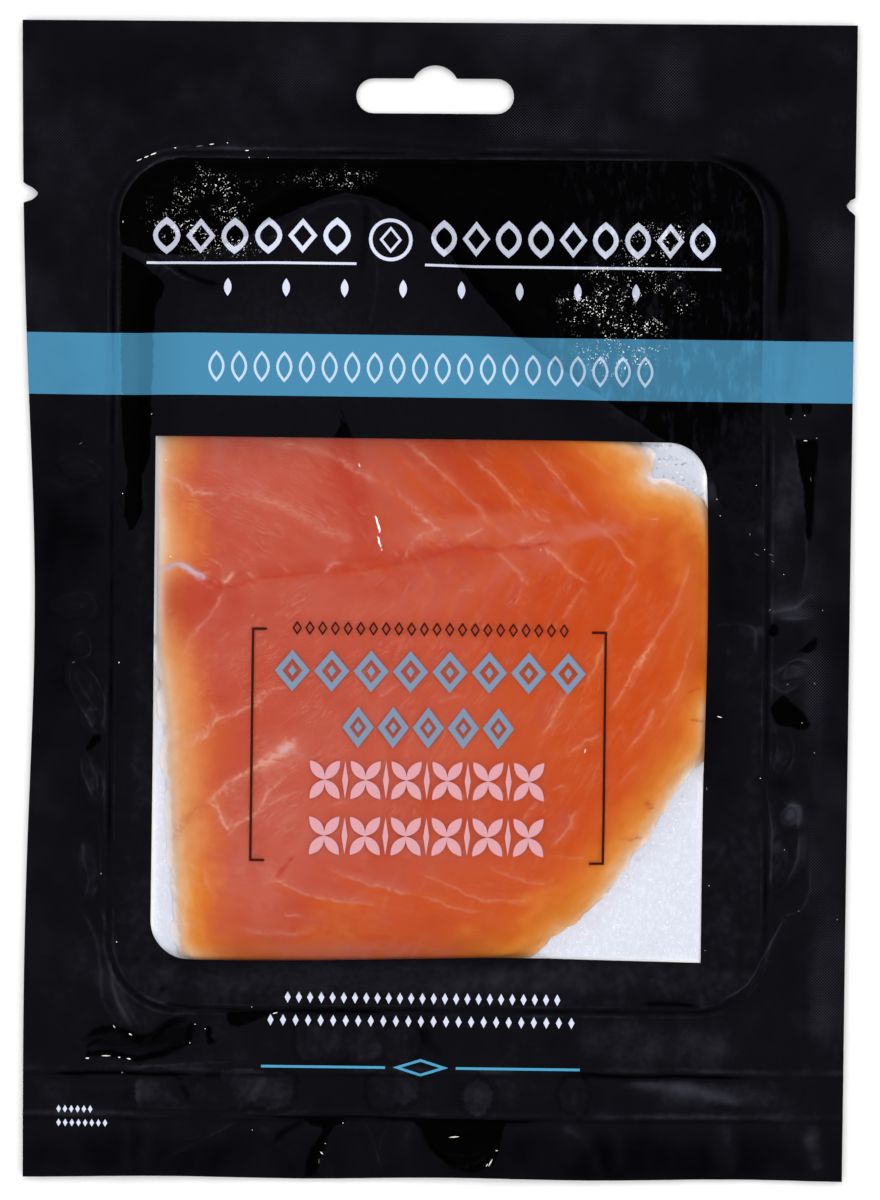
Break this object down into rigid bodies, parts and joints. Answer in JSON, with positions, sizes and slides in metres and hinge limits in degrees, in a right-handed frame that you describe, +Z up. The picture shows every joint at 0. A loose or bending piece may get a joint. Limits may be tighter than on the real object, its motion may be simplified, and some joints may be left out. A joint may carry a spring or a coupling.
{
  "type": "pack of smoked salmon",
  "caption": "Flat vacuum pouch of printed black film with a clear window, holding sliced smoked salmon on a carrier board; hang hole at the top.",
  "frame": {"origin": "middle of the pouch's underside, on the surface that the pack lies on", "axes": "+Z up out of the printed front, +Y towards the hang hole at the top of the pack, +X to the right as the front is read"},
  "size_m": [0.165, 0.2286, 0.009],
  "materials": {
    "black_film": "glossy black printed film with a blue band, finely embossed at the welded margin",
    "clear_film": "clear glossy film, tight over the fish",
    "salmon": "moist orange fish flesh with pale fat lines, paler and thinner at its edge",
    "carrier_board": "silvery white coated board with a fine sparkling grain"
  },
  "bodies": {
    "root": {"pouch": "black_film", "window_film": "clear_film", "salmon": "salmon", "board": "carrier_board"}
  },
  "joints": []
}
